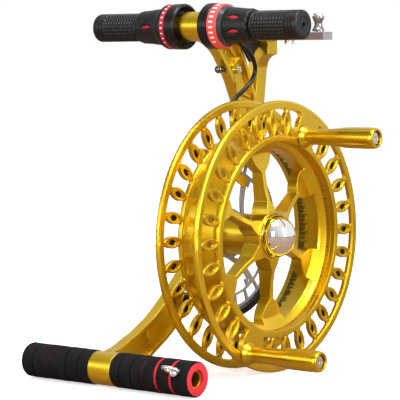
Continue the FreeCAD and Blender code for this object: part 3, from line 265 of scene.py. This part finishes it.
def mesh_piece(name, points, faces, material, body, replaced=(), slot=None):
    mesh = bpy.data.meshes.new(name)
    mesh.from_pydata([tuple(point) for point in points], [], faces)
    mesh.update()
    for face in mesh.polygons:
        face.use_smooth = True
    piece = bpy.data.objects.new(name, mesh)
    bpy.context.scene.collection.objects.link(piece)
    mesh.materials.append(material)
    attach(piece, body)
    if replaced:
        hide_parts(*replaced)
    return piece


def lathe(name, profile, axis, steps, material, body, shape=None, **marks):
    """Closed profile of (x, radius) turned about an axis along X; shape may move each point."""
    count = len(profile)
    points = []
    for step in range(steps):
        angle = 2 * math.pi * step / steps
        for index, (x, radius) in enumerate(profile):
            if shape is not None:
                x, radius = shape(index, x, radius, angle)
            points.append((x, axis.y + radius * math.cos(angle), axis.z + radius * math.sin(angle)))
    faces = []
    for step in range(steps):
        after = (step + 1) % steps
        for index in range(count):
            ahead = (index + 1) % count
            faces.append((step * count + index, after * count + index,
                          after * count + ahead, step * count + ahead))
    piece = mesh_piece(name, points, faces, material, body, **marks)
    piece.data.set_sharp_from_angle(angle=math.radians(CRISP_EDGE))
    return piece


def smooth_step(value, start, end):
    share = min(1.0, max(0.0, (value - start) / (end - start)))
    return share * share * (3 - 2 * share)


def triangle(value):
    """Zigzag between 0 and 1 with a period of 1."""
    return abs((value % 1.0) * 2 - 1)


# ---------------------------------------------------------------- hand grips

def side_x(side, along):
    """X of a place on the handlebar, measured in mm outwards from its middle."""
    return BAR.x + side * along * MM


def textured_grip(name, side):
    """End grip with rings of zigzag ridges, three ribs and a flat end with a small hole."""
    full, bore, end = 16.0, 11.1, 143.5
    pattern_start, pattern_end = 84.0, 126.0
    outer = [(80.0, 15.2), (80.6, 15.8), (81.6, full)]
    outer += [(along, full) for along in np.arange(82.2, 128.6, 0.42)]
    for rib in (129.4, 133.6, 137.8):
        outer += [(rib - 0.9, full), (rib - 0.6, full - 0.9), (rib, full - 1.2),
                  (rib + 0.6, full - 0.9), (rib + 0.9, full)]
    outer += [(141.0, full), (142.2, full - 0.4), (143.0, full - 1.2), (end - 0.05, full - 2.4),
              (end, full - 3.0), (end, 9.2), (end - 0.5, 8.9), (end - 0.5, 4.2), (end, 3.9), (end, 2.4)]
    inner = [(139.5, 2.4), (139.5, bore), (80.0, bore)]
    profile = [(side_x(side, along), radius * MM) for along, radius in outer + inner]
    pitch, zigzags, swing, height = 3.9, 24, 0.42, 0.95

    def shape(index, x, radius, angle):
        along = (x - BAR.x) * side / MM
        if index >= len(outer) or not pattern_start - 3 < along < pattern_end + 3 or radius < 15.9 * MM:
            return x, radius
        fade = smooth_step(along, pattern_start - 2, pattern_start)
        fade -= smooth_step(along, pattern_end, pattern_end + 2)
        ridge = triangle(along / pitch + swing * triangle(angle / (2 * math.pi) * zigzags))
        return x, radius - height * MM * fade * (1 - smooth_step(ridge, 0.25, 0.8))

    lathe(name, profile, BAR, 420, GRIP, "frame", shape, replaced=[name.replace("_detail", "")],
          slot="black_rubber")


# Angles of the lenses on each sleeve in degrees, from +Y towards +Z.
LENS_TURNS = {1: (30.0, 81.4, 150.0, 201.4, 270.0, 321.4), -1: (1.0, 91.0, 181.0, 271.0)}


def sleeve_radius(along):
    """Outer radius of the twist sleeve at a place on the bar, in mm."""
    return 20.4 - 1.9 * smooth_step(along, 49.0, 76.0)


def twist_sleeve(name, side, body):
    """Rubber sleeve with lens-shaped recesses that hold red inlays, and a scalloped outer end."""
    lens_middle, lens_half, lens_wide, sunk = 61.0, 9.0, 4.3, 1.7
    scallops, scallop_depth, scallop_start = 14, 1.3, 70
    core, bore = 14.3, 11.15
    outer = [(47.2, core), (47.2, 19.6), (47.6, 20.2), (48.6, 20.4)]
    outer += [(along, sleeve_radius(along)) for along in np.arange(49.2, 76.6, 0.45)]
    outer += [(77.2, 18.3), (78.2, 18.0), (79.0, 17.4), (79.5, 16.6), (79.6, 15.8)]
    inner = [(79.6, bore), (30.4, bore), (30.4, core)]
    profile = [(side_x(side, along), radius * MM) for along, radius in outer + inner]
    turns = [math.radians(turn) for turn in LENS_TURNS[side]]

    def lens(along, angle, radius):
        """How far inside a lens a place is: 1 in the middle, 0 at its rim, negative outside."""
        off = min(abs((angle - turn + math.pi) % (2 * math.pi) - math.pi) for turn in turns) * radius / MM
        share = (along - lens_middle) / lens_half
        return 1 - share * share - off / lens_wide

    def shape(index, x, radius, angle):
        along = (x - BAR.x) * side / MM
        if index >= len(outer):
            return x, radius
        if radius > 17.5 * MM and 49 < along < 77:
            radius -= sunk * MM * smooth_step(lens(along, angle, radius), -0.05, 0.30)
        if along > scallop_start:
            scallop = triangle(angle / (2 * math.pi) * scallops)
            x -= side * scallop_depth * MM * scallop * smooth_step(along, scallop_start, 79)
        return x, radius

    lathe(name + "_twist_sleeve_detail", profile, BAR, 280, RUBBER, body, shape,
          replaced=[name + "_twist_sleeve"], slot="black_rubber")
    points, faces = [], []
    steps_long, steps_wide = 16, 6
    inlay_half, inlay_wide, lift, crown = 0.74 * lens_half, 0.40 * lens_wide, 0.15, 0.55
    for turn in turns:
        base = len(points)
        for i in range(steps_long + 1):
            share = -1 + 2 * i / steps_long
            along = lens_middle + inlay_half * share
            wide = inlay_wide * (1 - share * share)
            for j in range(steps_wide + 1):
                off = -1 + 2 * j / steps_wide
                radius = sleeve_radius(along)
                radius += lift - sunk + crown * (1 - share * share) * (1 - off * off)
                angle = turn + off * wide / radius
                points.append((side_x(side, along), BAR.y + radius * MM * math.cos(angle),
                               BAR.z + radius * MM * math.sin(angle)))
        for i in range(steps_long):
            for j in range(steps_wide):
                corner = base + i * (steps_wide + 1) + j
                quad = (corner, corner + 1, corner + steps_wide + 2, corner + steps_wide + 1)
                faces.append(quad if side > 0 else quad[::-1])
    mesh_piece(name + "_red_inlays", points, faces, INLAY, body, slot="red_aluminium")


def ring_radius(along):
    """Outer radius of the scale ring's cone at a place on the bar, in mm."""
    return 25.4 - 1.2 * (along - 31.2) / (41.2 - 31.2)


def ring_marks(name, side, body, first, last, half_width):
    """Pale scale marks, a little proud of the red ring, between two places along the bar."""
    start, pitch, count = math.radians(74.0), math.radians(13.8), 12
    proud, mean_radius = 0.06, 25.0
    points, faces = [], []
    for index in range(count):
        angle = start + index * pitch
        for along, turn in ((first, -1), (last, -1), (last, 1), (first, 1)):
            spread = turn * half_width / mean_radius
            radius = ring_radius(along) + proud
            points.append((side_x(side, along), BAR.y + radius * MM * math.cos(angle + spread),
                           BAR.z + radius * MM * math.sin(angle + spread)))
        quad = tuple(4 * index + corner for corner in range(4))
        faces.append(quad if side < 0 else quad[::-1])
    piece = mesh_piece(name + "_scale_marks", points, faces, MARK, body)
    thick = piece.modifiers.new("thickness", "SOLIDIFY")
    thick.thickness = 0.15 * MM
    thick.offset = 1.0


def cover_band(name, side, body, left, right):
    """Black lip of the rubber sleeve that overlaps the outer part of the scale ring."""
    outer = [(left, 24.2), (left + 0.3, 24.9), (left + 1.2, 25.2)]
    outer += [(along, 25.2 - 4.6 * smooth_step(along, left + 2.7, right))
              for along in np.arange(left + 1.8, right, 0.6)]
    inner = [(right, 20.0), (right, 19.0), (left, 24.0)]
    profile = [(side_x(side, along), radius * MM) for along, radius in outer + inner]
    lathe(name, profile, BAR, 160, RUBBER, body, slot="black_rubber")


for name, side in (("right", 1), ("left", -1)):
    textured_grip(name + "_grip_detail", side)
    twist_sleeve(name, side, name + "_twist")
ring_marks("right", 1, "right_twist", 33.2, 38.4, 1.1)
ring_marks("left", -1, "left_twist", 32.4, 35.4, 0.9)
cover_band("left_sleeve_lip", -1, "left_twist", 36.4, 48.0)


# ---------------------------------------------------------------- foam of the belly bar

BLACK, DARK_RED, BRIGHT_RED = 0, 1, 2


def foam_sleeve(name, node_name, grooves, end_colour):
    """Foam sleeve with grooves cut down to a coloured layer. A groove is (x, width, depth, colour) in mm."""
    low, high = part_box(node_name)
    left, right, full = low.x / MM, high.x / MM, high.z / MM
    bore = 10.0
    profile = [(left, bore), (left, full - 1.6), (left + 0.5, full - 0.6), (left + 1.6, full)]
    colours = [BLACK] * 4
    for x, width, depth, colour in grooves:
        half = width / 2
        profile += [(x - half - 0.8, full), (x - half - 0.2, full - 0.3), (x - half, full - 0.8),
                    (x - half + 0.1, full - depth), (x + half - 0.1, full - depth), (x + half, full - 0.8),
                    (x + half + 0.2, full - 0.3), (x + half + 0.8, full)]
        colours += [BLACK] * 2 + [colour] * 3 + [BLACK] * 3
    profile += [(right - 1.6, full), (right - 0.5, full - 0.6), (right, full - 1.6), (right, bore)]
    colours += [BLACK] * 2 + [end_colour] * 2
    filled, marks = [], []
    longest, spacing = 3.0, 1.2
    for index, point in enumerate(profile):
        filled.append(point)
        marks.append(colours[index])
        after = profile[(index + 1) % len(profile)]
        if index + 1 < len(profile) and after[0] - point[0] > longest:
            steps = int((after[0] - point[0]) / spacing)
            for step in range(1, steps):
                filled.append((point[0] + (after[0] - point[0]) * step / steps, point[1]))
                marks.append(BLACK)
    profile = [(x * MM, radius * MM) for x, radius in filled]

    def shape(index, x, radius, angle):
        """Slightly uneven skin, drawn in by about as much as it swells."""
        if radius < (full - 0.4) * MM:
            return x, radius
        dent = 0.10 * math.sin(3 * angle + x * 190) + 0.07 * math.sin(7 * angle - x * 430)
        return x, radius + dent * MM - 0.1 * MM

    piece = lathe(name, profile, BELLY, 160, FOAM, "frame", shape, replaced=[node_name], slot="foam")
    piece.data.materials.append(FOAM_DARK_RED)
    piece.data.materials.append(FOAM_RED)
    count = len(profile)
    for face in piece.data.polygons:
        face.material_index = marks[face.index % count]


foam_sleeve("left_foam_grooved", "left_foam",
            [(-98.8, 1.0, 2.0, BLACK), (-85.2, 1.4, 1.8, DARK_RED), (-67.2, 1.2, 1.8, DARK_RED),
             (-51.0, 1.0, 2.0, BLACK), (-34.7, 0.9, 1.6, BLACK)], BLACK)
foam_sleeve("right_foam_grooved", "right_foam",
            [(24.0, 0.9, 1.6, BLACK), (39.4, 1.0, 2.0, BLACK), (54.6, 1.8, 1.8, DARK_RED),
             (72.6, 3.0, 2.0, BRIGHT_RED), (92.4, 3.0, 2.0, BRIGHT_RED)], BRIGHT_RED)


# ---------------------------------------------------------------- stage, light and camera

def studio_paper():
    """White paper to the camera that throws only a dim, warm light back on the object."""
    made, tree, shader = new_material("studio_paper")
    rays = tree.nodes.new("ShaderNodeLightPath")
    shade = ramp(tree, rays.outputs["Is Camera Ray"], (0.21, 0.14, 0.095), (0.93, 0.93, 0.93), 0.0, 1.0)
    tree.links.new(shade, shader.inputs["Base Color"])
    tree.links.new(shade, shader.inputs["Emission Color"])
    shader.inputs["Emission Strength"].default_value = 0.55
    shader.inputs["Roughness"].default_value = 0.9
    return made


def stage_floor():
    """Wide round floor of pale studio paper."""
    low, reach, steps = cad_box[0].z - 0.0005, 6.0, 64
    points = []
    for step in range(steps):
        angle = 2 * math.pi * step / steps
        points.append((reach * math.cos(angle), reach * math.sin(angle), low))
    mesh = bpy.data.meshes.new("studio_floor")
    mesh.from_pydata(points, [], [tuple(range(steps))])
    piece = bpy.data.objects.new("studio_floor", mesh)
    bpy.context.scene.collection.objects.link(piece)
    mesh.materials.append(studio_paper())


def area_light(name, place, size, power):
    """Rectangular lamp turned towards the lower part of the reel."""
    light = bpy.data.lights.new(name, "AREA")
    light.shape = "RECTANGLE"
    light.size, light.size_y = size
    light.energy = power
    lamp = bpy.data.objects.new(name, light)
    bpy.context.scene.collection.objects.link(lamp)
    lamp.location = place
    lamp.rotation_mode = "QUATERNION"
    aim = Vector((0.05, 0.15, 0.15))
    lamp.rotation_quaternion = (aim - Vector(place)).to_track_quat("-Z", "Y")


def studio_world():
    """White room to the camera; its light is brightest to the right and behind, and dim to the left."""
    bright_side = (0.55, 0.62, 0.56)
    world = bpy.data.worlds.new("studio")
    bpy.context.scene.world = world
    world.use_nodes = True
    tree = world.node_tree
    place = tree.nodes.new("ShaderNodeTexCoord")
    toward = tree.nodes.new("ShaderNodeVectorMath")
    toward.operation = "DOT_PRODUCT"
    toward.inputs[1].default_value = bright_side
    tree.links.new(place.outputs["Generated"], toward.inputs[0])
    share = tree.nodes.new("ShaderNodeMapRange")
    share.interpolation_type = "SMOOTHSTEP"
    for name, number in (("From Min", -0.7), ("From Max", 0.95), ("To Min", 0.26), ("To Max", 0.94)):
        share.inputs[name].default_value = number
    tree.links.new(toward.outputs["Value"], share.inputs["Value"])
    rays = tree.nodes.new("ShaderNodeLightPath")
    seen = tree.nodes.new("ShaderNodeMath")
    seen.operation = "MAXIMUM"
    tree.links.new(share.outputs["Result"], seen.inputs[0])
    tree.links.new(rays.outputs["Is Camera Ray"], seen.inputs[1])
    tree.links.new(seen.outputs["Value"], tree.nodes["Background"].inputs["Strength"])
    tree.nodes["Background"].inputs["Color"].default_value = (1, 1, 1, 1)


def lights():
    studio_world()
    area_light("top", (0.35, -0.1, 1.9), (0.9, 0.9), 26)
    area_light("right_strip", (1.6, 0.35, 0.75), (0.35, 1.2), 16)
    area_light("front", (1.1, -1.7, 0.75), (0.5, 1.0), 15)
    area_light("left_strip", (-0.35, -1.8, 0.45), (0.22, 1.3), 14)
    area_light("left_low", (-1.2, -1.4, 0.60), (1.0, 0.6), 4)


def camera():
    """Long lens from the front right, a little above the reel's middle."""
    azimuth, elevation, roll = math.radians(38.34), math.radians(3.99), math.radians(-0.18)
    away, right_shift, up_shift = 2.166, 0.06719, -0.03924
    back = Vector((math.sin(azimuth) * math.cos(elevation), -math.cos(azimuth) * math.cos(elevation),
                   math.sin(elevation)))
    right = Vector((math.cos(azimuth), math.sin(azimuth), 0))
    up = back.cross(right)
    turned_right = right * math.cos(roll) + up * math.sin(roll)
    turned_up = up * math.cos(roll) - right * math.sin(roll)
    lens = bpy.data.cameras.new("camera")
    lens.lens = 175.44
    lens.sensor_width = 36.0
    lens.clip_start, lens.clip_end = 0.1, 30.0
    eye = bpy.data.objects.new("camera", lens)
    bpy.context.scene.collection.objects.link(eye)
    place = SPOOL + back * away - turned_right * right_shift - turned_up * up_shift
    turn = Matrix((turned_right, turned_up, back)).transposed().to_4x4()
    eye.matrix_world = Matrix.Translation(place) @ turn
    bpy.context.scene.camera = eye


stage_floor()
lights()
camera()
bpy.context.scene.view_settings.view_transform = "Standard"
